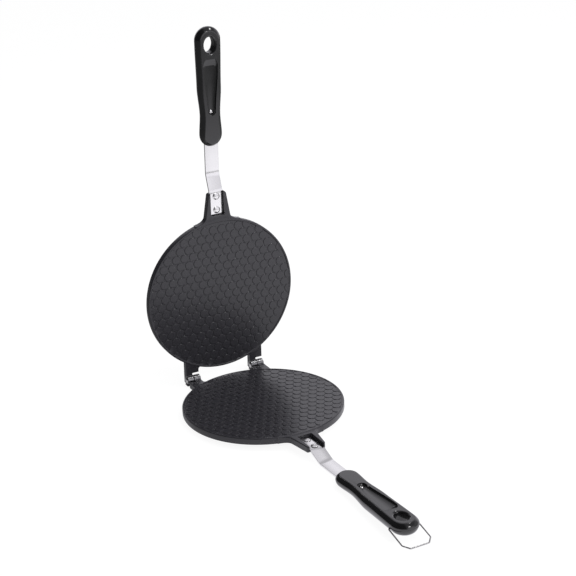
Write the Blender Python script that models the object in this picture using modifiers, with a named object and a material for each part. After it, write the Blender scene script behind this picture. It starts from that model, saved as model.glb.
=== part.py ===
"""Stovetop egg roll maker: two round cast plates on a pinned hinge, each with a steel strap and a
moulded handle, and a wire bail that locks the two handles together.

Metres, +Z up. The origin is the middle of the round face under the lower plate, which goes on the
burner. X runs along the hinge and the handles point to -Y. The iron is drawn as it stands on a table
with the lid open: the lower handle reaches below the plate, so the lower half leans back on the edge
of its foot, and the lid stands up against the stops of the hinge.

Both plates are the same casting. The casting frame has its origin on the parting plane over the
middle of the plate, with +Z out of the baking side. The lid is that casting turned half a turn
about Y and swung open about the hinge.
"""
import math

import bmesh
import bpy
import numpy as np
from mathutils import Matrix, Vector

# Clearances
SEAT_GAP = 0.0003
PARTING_GAP = 0.0003
CUT_OVERRUN = 0.0020
WELD_DISTANCE = 0.000003

# Plate
PLATE_RADIUS = 0.0900
PLATE_THICKNESS = 0.0078
PLATE_EDGE_CHAMFER = 0.0008
RIM_WIDTH = 0.0020
RIM_INNER_SLOPE = 0.0008
FLOOR_DEPTH = 0.0011
FOOT_MARGIN = 0.0120
FOOT_HEIGHT = 0.0006
PLATE_STEPS = 48
SHARP_ANGLE = math.radians(35.0)
FLAT_ANGLE = math.radians(0.5)

# Relief of the baking face: raised pads in rows along X, each row shifted half a pitch from the last.
# The rim cuts the outer pads off
PAD_PITCH = 0.01035
PAD_OFFSET_X = 0.00185
PAD_OFFSET_Y = 0.0015
PAD_SLOPE = 0.0011
PAD_TOP_SINK = 0.00015
PAD_STEP = 0.0001
PAD_RIM_OVERLAP = 0.0004
PAD_LEAST_SHARE = 0.55

# Hinge
HINGE_OFFSET = 0.0074
HINGE_SPREAD = 0.0408
KNUCKLE_RADIUS = 0.0046
KNUCKLE_LENGTH = 0.0075
KNUCKLE_GAP = 0.0006
CUTBACK = 0.0072
ARM_DEPTH = 0.0072
ARM_FILLET = 0.0030
STOP_REACH = 0.0049
STOP_TAB_LENGTH = 0.0046
STOP_TAB_ROOT = 0.0015
STOP_TAB_OVERLAP = 0.0037
STOP_CORNER = 0.0012
PIN_RADIUS = 0.0020
PIN_HEAD_RADIUS = 0.0035
PIN_HEAD_HEIGHT = 0.0013
OPEN_ANGLE = math.radians(88.0)

# Forked lug that carries the strap
LUG_LENGTH = 0.0322
LUG_TIP_HALF_WIDTH = 0.0111
LUG_ROOT_HALF_WIDTH = 0.0160
LUG_FILLET = 0.0060
LUG_FLARE_WIDTH = 0.0120
LUG_FLARE_RISE = 0.0020
LUG_TIP_ROUND = 0.0030
LUG_TIP_CHAMFER = 0.0016
LUG_DEPTH = 0.0076
SLOT_OFFSET = 0.0050
LAND_SINK = 0.0002

# Strap
STRAP_WIDTH = 0.0164
STRAP_THICKNESS = 0.0020
STRAP_SINK = 0.0040
STRAP_BEND_GAP = 0.0004
STRAP_BEND_RUN = 0.0184
STRAP_DROP = 0.0070
STRAP_BEND_RADIUS = 0.0080
TANG_LENGTH = 0.0830
RIVET_INSETS = (0.0212, 0.0052)
RIVET_RADIUS = 0.0020
RIVET_HEAD_RADIUS = 0.0040
RIVET_HEAD_HEIGHT = 0.0017
RIVET_TAIL_RADIUS = 0.0034
RIVET_TAIL_HEIGHT = 0.0012

# Handle, measured along the strap from its second bend, or back from its own end
HANDLE_RISE = math.radians(0.9)
HANDLE_START = 0.0325
HANDLE_LENGTH = 0.1335
HANDLE_FACE_HEIGHT = 0.0059
HANDLE_WIDEST_SINK = 0.0050
HANDLE_START_HALF_WIDTH = 0.0132
HANDLE_WAIST_HALF_WIDTH = 0.0119
HANDLE_GRIP_HALF_WIDTH = 0.0138
HANDLE_END_HALF_WIDTH = 0.0148
HANDLE_START_DEPTH = 0.0070
HANDLE_GRIP_DEPTH = 0.0095
HANDLE_END_DEPTH = 0.0085
HANDLE_START_ROUND = 0.0135
HANDLE_END_ROUND = 0.0150
HANDLE_FACE_INSET = 0.0038
HANDLE_SIDE_POWER = 1.6
HANDLE_BELLY_INSET = 0.0076
HANDLE_END_STEPS = 4
HANDLE_MIDDLE_STEPS = 8
HANDLE_SIDE_STEPS = 2
HANDLE_BELLY_STEPS = 3
HANDLE_STATION_SHARES = (0.0, 0.10, 0.27, 0.50, 0.87, 1.0)
SCOOP_INSET = 0.0350
SCOOP_LENGTH = 0.0625
SCOOP_START_HALF_WIDTH = 0.0046
SCOOP_END_HALF_WIDTH = 0.0087
SCOOP_DEPTH = 0.0036
SCOOP_NOSE = 0.0032
SCOOP_RAMP = 0.0075
SCOOP_FLOOR_POWER = 0.6
SCOOP_STATION_SHARES = (0.0, 0.9)
SCOOP_NOSE_WIDTH_SHARES = (0.45, 0.85)
SCOOP_NOSE_DEPTH_SHARE = 0.85
SCOOP_RAMP_WIDTH_SHARES = (0.92, 0.62)
HOLE_INSET = 0.0195
HOLE_HALF_WIDTH = 0.0063
HOLE_HALF_LENGTH = 0.0088
HOLE_ROUND = 0.0021
SCREW_INSET = 0.0036
SCREW_RADIUS = 0.0015
SCREW_LENGTH = 0.0090
SCREW_HEAD_RADIUS = 0.0027
SCREW_HEAD_HEIGHT = 0.0015

# Bail
BAIL_PIVOT_INSET = 0.0180
BAIL_PIVOT_SINK = 0.0028
BAIL_WIRE_RADIUS = 0.0008
BAIL_PIVOT_DEPTH = 0.0045
BAIL_SIDE_GAP = 0.0003
BAIL_SHOULDER = 0.0255
BAIL_REACH = 0.0318
BAIL_BAR_HALF_WIDTH = 0.0104
BAIL_BEND_RADIUS = 0.0022
BAIL_HANG = math.radians(15.0)

# Worked out from the sizes above
FOOT_RADIUS = PLATE_RADIUS - FOOT_MARGIN
HINGE_REACH = PLATE_RADIUS + HINGE_OFFSET
LUG_REACH = PLATE_RADIUS + LUG_LENGTH
SLOT_START = PLATE_RADIUS + SLOT_OFFSET
STRAP_BEND_START = LUG_REACH + STRAP_BEND_GAP
STRAP_BEND_END = STRAP_BEND_START + STRAP_BEND_RUN
RIVET_REACHES = [LUG_REACH - inset for inset in RIVET_INSETS]
HANDLE_END = HANDLE_START + HANDLE_LENGTH
SCOOP_END = HANDLE_END - SCOOP_INSET
SCOOP_START = SCOOP_END - SCOOP_LENGTH
HOLE_REACH = HANDLE_END - HOLE_INSET
SCREW_REACH = SCOOP_START + SCREW_INSET
BAIL_PIVOT_REACH = HANDLE_END - BAIL_PIVOT_INSET
RIM_TOP = -PARTING_GAP / 2
LAND_TOP = RIM_TOP - LAND_SINK
FOOT_BOTTOM = -PLATE_THICKNESS - FOOT_HEIGHT
ROOT_RADIUS = PLATE_RADIUS - RIM_WIDTH / 2
ARM_HALF_WIDTH = KNUCKLE_GAP / 2 + KNUCKLE_LENGTH
STOP_TAB_TOP = -STOP_REACH - SEAT_GAP
SLOT_HALF_WIDTH = STRAP_WIDTH / 2 + SEAT_GAP
SLOT_FLOOR = -STRAP_SINK - STRAP_THICKNESS - SEAT_GAP
STRAP_START_MID = -STRAP_SINK - STRAP_THICKNESS / 2
STRAP_END_MID = STRAP_START_MID - STRAP_DROP
WIDEST_LEVEL = HANDLE_FACE_HEIGHT - HANDLE_WIDEST_SINK
BAIL_HALF_WIDTH = HANDLE_END_HALF_WIDTH + BAIL_SIDE_GAP + BAIL_WIRE_RADIUS

X_AXIS = Vector((1, 0, 0))
Y_AXIS = Vector((0, 1, 0))
SIDE_PLANE = Matrix(((0, 0, 1, 0), (1, 0, 0, 0), (0, 1, 0, 0), (0, 0, 0, 1)))
ALONG_X = Matrix.Rotation(math.pi / 2, 4, Y_AXIS)


def clear_scene():
    """Remove every object, so that the model starts from an empty scene."""
    for item in list(bpy.data.objects):
        bpy.data.objects.remove(item, do_unlink=True)


def make_collection(name):
    """A new collection under the scene."""
    collection = bpy.data.collections.new(name)
    bpy.context.scene.collection.children.link(collection)
    return collection


def make_material(name, colour, roughness, metallic):
    """A plain Principled material."""
    material = bpy.data.materials.new(name)
    material.use_nodes = True
    shader = material.node_tree.nodes["Principled BSDF"]
    shader.inputs["Base Color"].default_value = (*colour, 1)
    shader.inputs["Roughness"].default_value = roughness
    shader.inputs["Metallic"].default_value = metallic
    return material


def add_object(name, mesh, collection):
    """Link a mesh into a collection as a new object."""
    item = bpy.data.objects.new(name, mesh)
    collection.objects.link(item)
    return item


def evaluated_mesh(item):
    """The mesh that an object's modifiers make."""
    depsgraph = bpy.context.evaluated_depsgraph_get()
    return bpy.data.meshes.new_from_object(item.evaluated_get(depsgraph))


def arc(centre, radius, start, end, steps):
    """Points on an arc, from the start angle to the end angle in radians."""
    angles = np.linspace(start, end, steps + 1)
    return [(centre[0] + radius * math.cos(a), centre[1] + radius * math.sin(a)) for a in angles]


def rounded_path(corners, steps):
    """An open line through corners of (x, y, radius), with an arc at each corner that has a radius."""
    points = []
    for index, (x, y, radius) in enumerate(corners):
        if radius == 0:
            points.append((x, y))
            continue
        here = Vector((x, y))
        to_last = (Vector(corners[index - 1][:2]) - here).normalized()
        to_next = (Vector(corners[index + 1][:2]) - here).normalized()
        half = to_last.angle(to_next) / 2
        setback = radius / math.tan(half)
        centre = here + (to_last + to_next).normalized() * radius / math.sin(half)
        first = here + to_last * setback - centre
        sweep = first.angle_signed(here + to_next * setback - centre)
        start = math.atan2(first.y, first.x)
        points += arc(centre, radius, start, start - sweep, steps)
    return points


def extruded(name, outline, low, high, matrix):
    """A closed outline made solid from one level to another, then placed by a matrix."""
    curve = bpy.data.curves.new(name, "CURVE")
    curve.dimensions = "2D"
    curve.fill_mode = "BOTH"
    curve.extrude = (high - low) / 2
    spline = curve.splines.new("POLY")
    spline.points.add(len(outline) - 1)
    spline.points.foreach_set("co", [value for x, y in outline for value in (x, y, 0, 1)])
    spline.use_cyclic_u = True
    source = add_object(name, curve, CUTTERS)
    mesh = evaluated_mesh(source)
    bpy.data.objects.remove(source)
    bpy.data.curves.remove(curve)
    work = bmesh.new()
    work.from_mesh(mesh)
    bmesh.ops.remove_doubles(work, verts=work.verts, dist=WELD_DISTANCE)
    bmesh.ops.translate(work, verts=work.verts, vec=(0, 0, (low + high) / 2))
    bmesh.ops.transform(work, matrix=matrix, verts=work.verts)
    bmesh.ops.recalc_face_normals(work, faces=work.faces)
    work.to_mesh(mesh)
    work.free()
    return add_object(name, mesh, CUTTERS)


def box(name, low, high):
    """A box between two corners."""
    work = bmesh.new()
    bmesh.ops.create_cube(work, size=1)
    size = Vector(high) - Vector(low)
    middle = (Vector(high) + Vector(low)) / 2
    bmesh.ops.scale(work, verts=work.verts, vec=size)
    bmesh.ops.translate(work, verts=work.verts, vec=middle)
    mesh = bpy.data.meshes.new(name)
    work.to_mesh(mesh)
    work.free()
    return add_object(name, mesh, CUTTERS)


def rod(name, radius, low, high, matrix, steps):
    """A cylinder along its own Z from one level to another, then placed by a matrix."""
    work = bmesh.new()
    bmesh.ops.create_cone(work, cap_ends=True, segments=steps, radius1=radius, radius2=radius,
                          depth=high - low)
    bmesh.ops.translate(work, verts=work.verts, vec=(0, 0, (low + high) / 2))
    bmesh.ops.transform(work, matrix=matrix, verts=work.verts)
    mesh = bpy.data.meshes.new(name)
    work.to_mesh(mesh)
    work.free()
    return add_object(name, mesh, CUTTERS)


def turned(name, profile, steps, matrix):
    """A profile of (radius, height), from the top middle down the outer side, turned about Z."""
    mesh = bpy.data.meshes.new(name)
    points = [(radius, 0, height) for radius, height in profile]
    mesh.from_pydata(points, [(i, i + 1) for i in range(len(points) - 1)], [])
    source = add_object(name, mesh, CUTTERS)
    screw = source.modifiers.new("turn", "SCREW")
    screw.steps = steps
    screw.render_steps = steps
    screw.use_merge_vertices = True
    screw.merge_threshold = WELD_DISTANCE
    screw.use_smooth_shade = False
    solid = evaluated_mesh(source)
    bpy.data.objects.remove(source)
    bpy.data.meshes.remove(mesh)
    solid.transform(matrix)
    return add_object(name, solid, CUTTERS)


def loft(name, rings, rungs=False):
    """A closed solid through rings of points, all with the same count, capped flat at both ends.
    Where the first ring isn't flat, rungs from side to side cap it, from its first point on."""
    work = bmesh.new()
    loops = [[work.verts.new(point) for point in ring] for ring in rings]
    count = len(loops[0])
    for near, far in zip(loops, loops[1:]):
        for i in range(count):
            j = (i + 1) % count
            work.faces.new((near[i], near[j], far[j], far[i]))
    if rungs:
        for i in range(count // 2):
            corners = [loops[0][k % count] for k in (i, i + 1, count - i - 1, count - i)]
            work.faces.new(list(dict.fromkeys(corners)))
    else:
        work.faces.new(loops[0])
    work.faces.new(loops[-1])
    bmesh.ops.recalc_face_normals(work, faces=work.faces)
    mesh = bpy.data.meshes.new(name)
    work.to_mesh(mesh)
    work.free()
    return add_object(name, mesh, CUTTERS)


def merge_flat_faces(mesh):
    """Join the faces that lie in one plane, which a cut leaves in pieces."""
    work = bmesh.new()
    work.from_mesh(mesh)
    bmesh.ops.remove_doubles(work, verts=work.verts, dist=WELD_DISTANCE)
    bmesh.ops.dissolve_limit(work, angle_limit=FLAT_ANGLE, verts=work.verts, edges=work.edges)
    work.to_mesh(mesh)
    work.free()


def combine(target, tools, operation):
    """Join tools to a target or cut them out of it in one step, and keep the result as its mesh."""
    group = bpy.data.collections.new("tools")
    for tool in tools:
        group.objects.link(tool)
    modifier = target.modifiers.new(operation.lower(), "BOOLEAN")
    modifier.operation = operation
    modifier.operand_type = "COLLECTION"
    modifier.collection = group
    modifier.solver = "EXACT"
    result = evaluated_mesh(target)
    merge_flat_faces(result)
    target.modifiers.clear()
    target.data = result
    bpy.data.collections.remove(group)
    for tool in tools:
        bpy.data.objects.remove(tool)


def finish(item, name, material, parent, matrix):
    """Place a copy of a shape in the model as a named piece, with its own material."""
    piece = add_object(name, item.data.copy(), PARTS)
    piece.data.name = name
    piece.data.materials.clear()
    piece.data.materials.append(material)
    piece.parent = parent
    piece.matrix_local = matrix
    piece.data.shade_smooth()
    piece.data.set_sharp_from_angle(angle=SHARP_ANGLE)
    return piece


# The casting: plate, two hinge arms with their knuckles and stops, and the forked lug

def pad_centres():
    """The middles of the pads, out to those of which the rim leaves only a small part."""
    row_pitch = PAD_PITCH * math.sin(math.pi / 3)
    field = PLATE_RADIUS - RIM_WIDTH + PAD_PITCH * (1 / 2 - PAD_LEAST_SHARE)
    rows = math.ceil(PLATE_RADIUS / row_pitch)
    columns = math.ceil(PLATE_RADIUS / PAD_PITCH) + 1
    centres = []
    for row in range(-rows, rows + 1):
        shift = PAD_PITCH / 2 * (row % 2)
        y = PAD_OFFSET_Y + row * row_pitch
        for column in range(-columns, columns + 1):
            x = PAD_OFFSET_X + shift + column * PAD_PITCH
            if math.hypot(x, y) < field:
                centres.append((x, y))
    return centres


def relief():
    """A honeycomb slab on the plate's floor, each cell drawn in and raised to make a pad, and the
    whole cut off round inside the rim."""
    work = bmesh.new()
    for x, y in pad_centres():
        place = Matrix.Translation((x, y, -FLOOR_DEPTH - CUT_OVERRUN))
        bmesh.ops.create_circle(work, cap_ends=True, segments=6, radius=PAD_PITCH / math.sqrt(3),
                                matrix=place)
    bmesh.ops.remove_doubles(work, verts=work.verts, dist=WELD_DISTANCE)
    raised = bmesh.ops.extrude_face_region(work, geom=work.faces, use_keep_orig=True)["geom"]
    tops = [item for item in raised if isinstance(item, bmesh.types.BMFace)]
    points = [item for item in raised if isinstance(item, bmesh.types.BMVert)]
    bmesh.ops.translate(work, verts=points, vec=(0, 0, CUT_OVERRUN + PAD_STEP))
    bmesh.ops.recalc_face_normals(work, faces=work.faces)
    bmesh.ops.inset_individual(work, faces=tops, thickness=PAD_SLOPE,
                               depth=FLOOR_DEPTH - PAD_STEP + RIM_TOP - PAD_TOP_SINK)
    mesh = bpy.data.meshes.new("relief")
    work.to_mesh(mesh)
    work.free()
    body = add_object("relief", mesh, CUTTERS)
    field = rod("relief_field", PLATE_RADIUS - RIM_WIDTH + PAD_RIM_OVERLAP,
                -FLOOR_DEPTH - CUT_OVERRUN * 2, CUT_OVERRUN, Matrix.Identity(4), PLATE_STEPS)
    combine(body, [field], "INTERSECT")
    return body


def plate_disc():
    """The round plate: a narrow rim round a sunk floor above, and the burner foot below."""
    rim_inner = PLATE_RADIUS - RIM_WIDTH
    profile = [
        (0, -FLOOR_DEPTH),
        (rim_inner - RIM_INNER_SLOPE, -FLOOR_DEPTH),
        (rim_inner, RIM_TOP),
        (PLATE_RADIUS - PLATE_EDGE_CHAMFER, RIM_TOP),
        (PLATE_RADIUS, RIM_TOP - PLATE_EDGE_CHAMFER),
        (PLATE_RADIUS, -PLATE_THICKNESS + PLATE_EDGE_CHAMFER),
        (PLATE_RADIUS - PLATE_EDGE_CHAMFER, -PLATE_THICKNESS),
        (FOOT_RADIUS + FOOT_HEIGHT, -PLATE_THICKNESS),
        (FOOT_RADIUS, FOOT_BOTTOM),
        (0, FOOT_BOTTOM),
    ]
    return turned("plate_disc", profile, PLATE_STEPS, Matrix.Identity(4))


def root_arc(x_from, x_to, side, steps):
    """Points along the middle of the rim between two distances from the centre line."""
    points = []
    for x in np.linspace(x_from, x_to, steps + 1):
        points.append((x, side * math.sqrt(ROOT_RADIUS ** 2 - x ** 2)))
    return points


def hinge_arm(middle):
    """The full width of an arm in plan, flared where it leaves the plate, up to the cut-back."""
    inner = middle - math.copysign(ARM_HALF_WIDTH, middle)
    outer = middle + math.copysign(ARM_HALF_WIDTH, middle)
    flare = math.copysign(ARM_FILLET, middle)
    tip = HINGE_REACH - CUTBACK
    inner_edge = math.sqrt(PLATE_RADIUS ** 2 - inner ** 2)
    outer_edge = math.sqrt(PLATE_RADIUS ** 2 - outer ** 2)
    outline = root_arc(inner - flare, outer + flare, 1, 4)
    outline += [(outer, outer_edge + ARM_FILLET), (outer, tip), (inner, tip)]
    outline += [(inner, inner_edge + ARM_FILLET)]
    return extruded("hinge_arm", outline, -ARM_DEPTH, LAND_TOP, Matrix.Identity(4))


def knuckle(middle):
    """The half of the arm that reaches round the pin, with the square toe that stops the lid."""
    back = -CUTBACK - CUT_OVERRUN
    side = arc((0, 0), KNUCKLE_RADIUS, math.pi, 0, 12)
    outline = [(back, -ARM_DEPTH), (back, LAND_TOP), (-KNUCKLE_RADIUS, LAND_TOP)] + side[1:]
    outline += [(STOP_REACH, LAND_TOP)]
    outline += arc((STOP_REACH - STOP_CORNER, STOP_CORNER - ARM_DEPTH), STOP_CORNER,
                   0, -math.pi / 2, 3)
    outline = [(y + HINGE_REACH, z) for y, z in outline]
    low = middle + KNUCKLE_GAP / 2
    return extruded("knuckle", outline, low, low + KNUCKLE_LENGTH, SIDE_PLANE)


def stop_tab(middle):
    """The tab beside a knuckle that the other casting's toe comes down on when the lid is open."""
    low = (middle - ARM_HALF_WIDTH, HINGE_REACH - STOP_TAB_ROOT, -ARM_DEPTH)
    high = (middle + STOP_TAB_OVERLAP, HINGE_REACH + STOP_TAB_LENGTH, STOP_TAB_TOP)
    return box("stop_tab", low, high)


def lug():
    """The fork in plan, with round tips and a flare into the rim."""
    root_y = math.sqrt(PLATE_RADIUS ** 2 - LUG_ROOT_HALF_WIDTH ** 2)
    tip_round = (LUG_TIP_HALF_WIDTH, -LUG_REACH, LUG_TIP_ROUND)
    corner = (LUG_ROOT_HALF_WIDTH, -root_y, LUG_FILLET)
    flare = (LUG_ROOT_HALF_WIDTH + LUG_FLARE_WIDTH, -root_y + LUG_FLARE_RISE, 0)
    right = rounded_path([flare, corner, tip_round, (0, -LUG_REACH, 0)], 4)[:-1]
    left = [(-x, y) for x, y in reversed(right)]
    reach = right[0][0]
    inside = root_arc(-reach, reach, -1, 6)
    return extruded("lug", right + left + inside, -LUG_DEPTH, LAND_TOP, Matrix.Identity(4))


def lug_tip_cut():
    """The cutter for the slope under the tips of the fork."""
    far = -LUG_REACH - CUT_OVERRUN
    deep = -LUG_DEPTH - CUT_OVERRUN
    run = LUG_TIP_CHAMFER + CUT_OVERRUN * 2
    outline = [(far, deep), (far + run, deep), (far, deep + run)]
    half_width = LUG_TIP_HALF_WIDTH + CUT_OVERRUN
    return extruded("lug_tip_cut", outline, -half_width, half_width, SIDE_PLANE)


def casting():
    """One half of the iron: everything that is cast in one piece."""
    body = plate_disc()
    joined = [lug(), relief()]
    cut = [box("slot", (-SLOT_HALF_WIDTH, -LUG_REACH - CUT_OVERRUN, SLOT_FLOOR),
               (SLOT_HALF_WIDTH, -SLOT_START, CUT_OVERRUN)), lug_tip_cut()]
    for middle in (-HINGE_SPREAD, HINGE_SPREAD):
        joined += [hinge_arm(middle), knuckle(middle), stop_tab(middle)]
        place = Matrix.Translation((middle, HINGE_REACH, 0)) @ ALONG_X
        reach = ARM_HALF_WIDTH + CUT_OVERRUN
        cut.append(rod("pin_bore", PIN_RADIUS + SEAT_GAP, -reach, reach, place, 16))
    for reach in RIVET_REACHES:
        place = Matrix.Translation((0, -reach, 0))
        cut.append(rod("rivet_hole", RIVET_RADIUS + SEAT_GAP, -LUG_DEPTH - CUT_OVERRUN,
                       SLOT_FLOOR + SEAT_GAP, place, 12))
    combine(body, joined, "UNION")
    combine(body, cut, "DIFFERENCE")
    return body


# The strap and its rivets

def strap():
    """Flat bar, bent down behind the fork and straight on into the handle, drilled three times."""
    rise = TANG_LENGTH * math.tan(HANDLE_RISE)
    corners = [
        (-SLOT_START - SEAT_GAP, STRAP_START_MID, 0),
        (-STRAP_BEND_START, STRAP_START_MID, STRAP_BEND_RADIUS),
        (-STRAP_BEND_END, STRAP_END_MID, STRAP_BEND_RADIUS),
        (-STRAP_BEND_END - TANG_LENGTH, STRAP_END_MID + rise, 0),
    ]
    line = np.array(rounded_path(corners, 4))
    along = np.gradient(line, axis=0)
    along /= np.linalg.norm(along, axis=1)[:, None]
    across = np.stack([-along[:, 1], along[:, 0]], axis=1) * STRAP_THICKNESS / 2
    outline = [tuple(p) for p in line + across] + [tuple(p) for p in (line - across)[::-1]]
    body = extruded("strap", outline, -STRAP_WIDTH / 2, STRAP_WIDTH / 2, SIDE_PLANE)
    places = [Matrix.Translation((0, -reach, STRAP_START_MID)) for reach in RIVET_REACHES]
    sizes = [RIVET_RADIUS, RIVET_RADIUS, SCREW_RADIUS]
    places.append(HANDLE_FRAME @ Matrix.Translation((0, -SCREW_REACH, 0)))
    holes = [rod("strap_hole", radius + SEAT_GAP, -STRAP_THICKNESS, STRAP_THICKNESS, place, 12)
             for radius, place in zip(sizes, places)]
    combine(body, holes, "DIFFERENCE")
    return body


def dome(radius, height, base, steps):
    """The profile of a domed head above its base, from the top middle to the rim."""
    ball = (radius ** 2 + height ** 2) / (2 * height)
    spread = math.asin(radius / ball)
    angles = np.linspace(0, spread, steps + 1)
    return [(ball * math.sin(a), base + height - ball * (1 - math.cos(a))) for a in angles]


def strap_rivet():
    """A solid rivet: a domed head on the strap, a shank, and a closed tail under the fork."""
    head_base = -STRAP_SINK + SEAT_GAP
    tail_base = -LUG_DEPTH - SEAT_GAP
    tail = [(x, 2 * tail_base - z) for x, z in dome(RIVET_TAIL_RADIUS, RIVET_TAIL_HEIGHT, tail_base, 2)]
    profile = dome(RIVET_HEAD_RADIUS, RIVET_HEAD_HEIGHT, head_base, 2)
    profile += [(RIVET_RADIUS, head_base), (RIVET_RADIUS, tail_base)] + tail[::-1]
    return turned("strap_rivet", profile, 12, Matrix.Identity(4))


def hinge_pin():
    """A pin with a domed head at each end, along X through both knuckles."""
    base = ARM_HALF_WIDTH + SEAT_GAP
    head = dome(PIN_HEAD_RADIUS, PIN_HEAD_HEIGHT, base, 2)
    profile = head + [(PIN_RADIUS, base), (PIN_RADIUS, -base)]
    profile += [(x, -z) for x, z in reversed(head)]
    return turned("hinge_pin", profile, 14, ALONG_X)


# The handle and its screw, in the frame of the strap's straight end

def handle_half_width(share):
    """Half the handle's width at a share of its length, without the round ends."""
    sizes = (HANDLE_START_HALF_WIDTH, HANDLE_START_HALF_WIDTH, HANDLE_WAIST_HALF_WIDTH,
             HANDLE_GRIP_HALF_WIDTH, HANDLE_END_HALF_WIDTH, HANDLE_END_HALF_WIDTH)
    return eased(share, HANDLE_STATION_SHARES, sizes)


def handle_depth(share):
    """The handle's depth under the middle of the strap at a share of its length."""
    sizes = (HANDLE_START_DEPTH, HANDLE_START_DEPTH, HANDLE_START_DEPTH,
             HANDLE_GRIP_DEPTH, HANDLE_END_DEPTH, HANDLE_END_DEPTH)
    return eased(share, HANDLE_STATION_SHARES, sizes)


def eased(share, stops, sizes):
    """A size that goes from stop to stop with level ends, so that the outline has no corners."""
    for low, high, near, far in zip(stops, stops[1:], sizes, sizes[1:]):
        if share <= high:
            step = (share - low) / (high - low)
            return near + (far - near) * step * step * (3 - 2 * step)
    return sizes[-1]


def handle_ring(inset, level, depth_share):
    """A loop round the handle in plan, drawn in by an inset, at a level less a share of the depth
    that the handle has there. It starts at the middle of the end near the plate."""
    angles = np.linspace(0, math.pi / 2, HANDLE_END_STEPS + 1)
    near = HANDLE_START_ROUND - inset
    far = HANDLE_END_ROUND - inset
    places = [(inset + near * (1 - math.cos(a)), math.sin(a)) for a in angles]
    for along in np.linspace(HANDLE_START_ROUND, HANDLE_LENGTH - HANDLE_END_ROUND,
                             HANDLE_MIDDLE_STEPS + 1)[1:-1]:
        places.append((along, 1))
    places += [(HANDLE_LENGTH - inset - far * (1 - math.cos(a)), math.sin(a)) for a in angles[::-1]]
    right = []
    for along, width_share in places:
        share = along / HANDLE_LENGTH
        drop = depth_share * (handle_depth(share) + WIDEST_LEVEL)
        right.append(((handle_half_width(share) - inset) * width_share, -HANDLE_START - along,
                      level - drop))
    return right + [(-x, y, z) for x, y, z in right[-2:0:-1]]


def handle_blank():
    """The outside of the handle, in rings from the belly up: an oval belly, sides that lean in to
    a crease, and a flat face."""
    rings = []
    for angle in np.linspace(math.pi / 2, 0, HANDLE_BELLY_STEPS + 1):
        inset = HANDLE_BELLY_INSET * (1 - math.cos(angle))
        rings.append(handle_ring(inset, WIDEST_LEVEL, math.sin(angle)))
    for share in np.linspace(0, 1, HANDLE_SIDE_STEPS + 1)[1:]:
        inset = HANDLE_FACE_INSET * share ** HANDLE_SIDE_POWER
        rings.append(handle_ring(inset, WIDEST_LEVEL + HANDLE_WIDEST_SINK * share, 0))
    return loft("handle", rings, rungs=True)


def oval_ring(half_width, half_length, y, z, steps):
    """Points round an oval that lies level at a height."""
    angles = np.linspace(0, 2 * math.pi, steps + 1)[:-1]
    return [(half_width * math.cos(a), y + half_length * math.sin(a), z) for a in angles]


def hanging_hole():
    """The cutter for the hanging hole, an oval with a round lip at each face."""
    top = HANDLE_FACE_HEIGHT
    bottom = -HANDLE_END_DEPTH
    lip = arc((HOLE_ROUND, HOLE_ROUND), HOLE_ROUND, math.pi, math.pi * 3 / 2, 2)
    flares = [(HOLE_ROUND + CUT_OVERRUN, bottom - CUT_OVERRUN)]
    flares += [(HOLE_ROUND - flare, bottom + drop) for drop, flare in lip[::-1]]
    flares += [(HOLE_ROUND - flare, top - drop) for drop, flare in lip]
    flares += [(HOLE_ROUND + CUT_OVERRUN, top + CUT_OVERRUN)]
    rings = [oval_ring(HOLE_HALF_WIDTH + flare, HOLE_HALF_LENGTH + flare, -HOLE_REACH, z, 18)
             for flare, z in flares]
    return loft("hanging_hole", rings)


def thumb_scoop():
    """The cutter for the scoop in the flat face: a blunt steep nose near the plate, and a ramp
    with a round edge towards the handle's end."""
    tip_share, nose_share = SCOOP_NOSE_WIDTH_SHARES
    ramp_share, edge_share = SCOOP_RAMP_WIDTH_SHARES
    full_start = SCOOP_START + SCOOP_NOSE
    full_end = SCOOP_END - SCOOP_RAMP
    stations = [(SCOOP_START, tip_share, 0),
                ((SCOOP_START + full_start) / 2, nose_share, SCOOP_NOSE_DEPTH_SHARE)]
    stations += [(reach, 1, 1) for reach in np.linspace(full_start, full_end, 6)]
    stations += [((full_end + SCOOP_END) / 2, ramp_share, 1 / 2), (SCOOP_END, edge_share, 0)]
    rings = []
    for reach, width_share, depth_share in stations:
        share = (reach - SCOOP_START) / SCOOP_LENGTH
        half = eased(share, SCOOP_STATION_SHARES, (SCOOP_START_HALF_WIDTH, SCOOP_END_HALF_WIDTH))
        half *= width_share
        depth = SCOOP_DEPTH * depth_share
        top = HANDLE_FACE_HEIGHT + CUT_OVERRUN
        floor = []
        for a in np.linspace(0, math.pi, 9)[1:-1]:
            sink = depth * math.sin(a) ** SCOOP_FLOOR_POWER
            floor.append((half * math.cos(a), -reach, HANDLE_FACE_HEIGHT - sink))
        rings.append([(half, -reach, top), (half, -reach, HANDLE_FACE_HEIGHT)] + floor
                     + [(-half, -reach, HANDLE_FACE_HEIGHT), (-half, -reach, top)])
    return loft("thumb_scoop", rings)


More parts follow.
